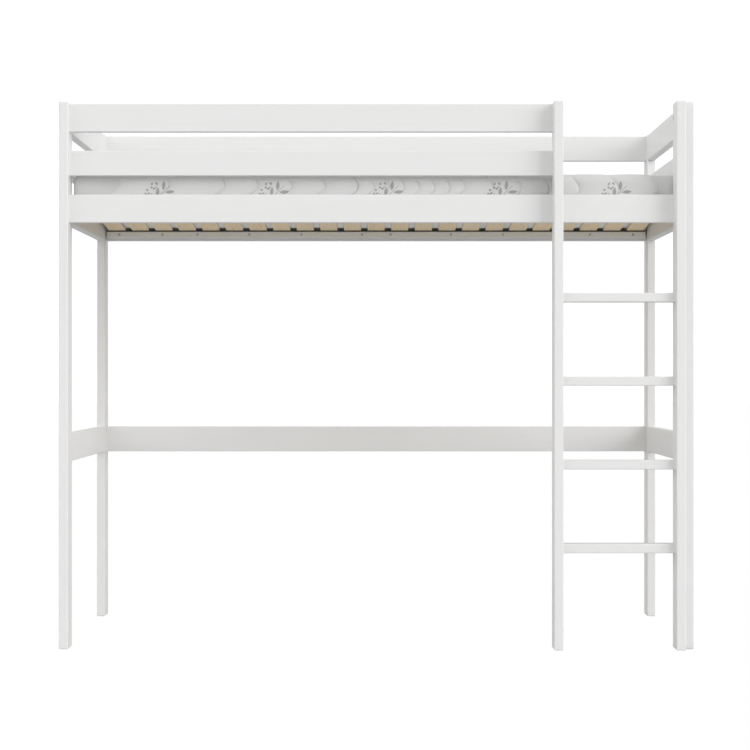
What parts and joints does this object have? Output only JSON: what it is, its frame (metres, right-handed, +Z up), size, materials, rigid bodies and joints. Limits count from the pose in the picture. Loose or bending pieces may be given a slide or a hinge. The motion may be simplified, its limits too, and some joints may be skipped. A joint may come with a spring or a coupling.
{
  "type": "loft bed",
  "caption": "White wooden loft bed: board posts, slatted base with mattress high above open floor space, guard rails and a straight ladder at the right front.",
  "frame": {"origin": "middle of the outline at floor level, under the posts", "axes": "+X along the bed, towards the ladder; +Y to the back, away from the ladder; +Z up"},
  "size_m": [2.07, 1.063, 1.785],
  "materials": {
    "white_lacquer": "satin",
    "slat_wood": "matte",
    "holder_rubber": "matte",
    "mattress_fabric": "matte",
    "zinc_steel": "satin",
    "dowel_wood": "matte"
  },
  "bodies": {
    "frame": {"post_front_left": "white_lacquer", "post_front_right": "white_lacquer", "post_rear_left": "white_lacquer", "post_rear_right": "white_lacquer", "end_rail_left_top": "white_lacquer", "end_rail_left_upper": "white_lacquer", "end_rail_left_bed": "white_lacquer", "end_rail_left_mid": "white_lacquer", "end_rail_right_top": "white_lacquer", "end_rail_right_upper": "white_lacquer", "end_rail_right_bed": "white_lacquer", "end_rail_right_mid": "white_lacquer", "side_rail_front": "white_lacquer", "side_rail_back": "white_lacquer", "guard_rail_front_top": "white_lacquer", "guard_rail_front_lower": "white_lacquer", "guard_rail_back": "white_lacquer", "mid_rail_back": "white_lacquer", "ladder_stile_left": "white_lacquer", "ladder_stile_right": "white_lacquer", "rung_1": "white_lacquer", "rung_2": "white_lacquer", "rung_3": "white_lacquer", "rung_4": "white_lacquer", "batten_front": "white_lacquer", "batten_back": "white_lacquer", "slat_01": "slat_wood", "slat_02": "slat_wood", "slat_03": "slat_wood", "slat_04": "slat_wood", "slat_05": "slat_wood", "slat_06": "slat_wood", "slat_07": "slat_wood", "slat_08": "slat_wood", "slat_09": "slat_wood", "slat_10": "slat_wood", "slat_11": "slat_wood", "slat_12": "slat_wood", "slat_13": "slat_wood", "slat_14": "slat_wood", "slat_15": "slat_wood", "slat_16": "slat_wood", "slat_17": "slat_wood", "slat_18": "slat_wood", "slat_19": "slat_wood", "slat_20": "slat_wood", "slat_21": "slat_wood", "slat_22": "slat_wood", "slat_23": "slat_wood", "slat_holder_front": "holder_rubber", "slat_holder_back": "holder_rubber", "bed_bolts": "zinc_steel", "ladder_bolts": "zinc_steel", "barrel_nuts": "zinc_steel", "sleeve_nut": "zinc_steel", "batten_screws": "zinc_steel", "ladder_screws": "zinc_steel", "panel_dowels": "dowel_wood", "rung_dowels": "dowel_wood"},
    "mattress_pad": {"mattress": "mattress_fabric"}
  },
  "joints": [
    {"name": "mattress_lift", "type": "slide", "parent": "frame", "child": "mattress_pad", "axis": [0, 0, 1], "range_m": [0, 0.4]}
  ]
}
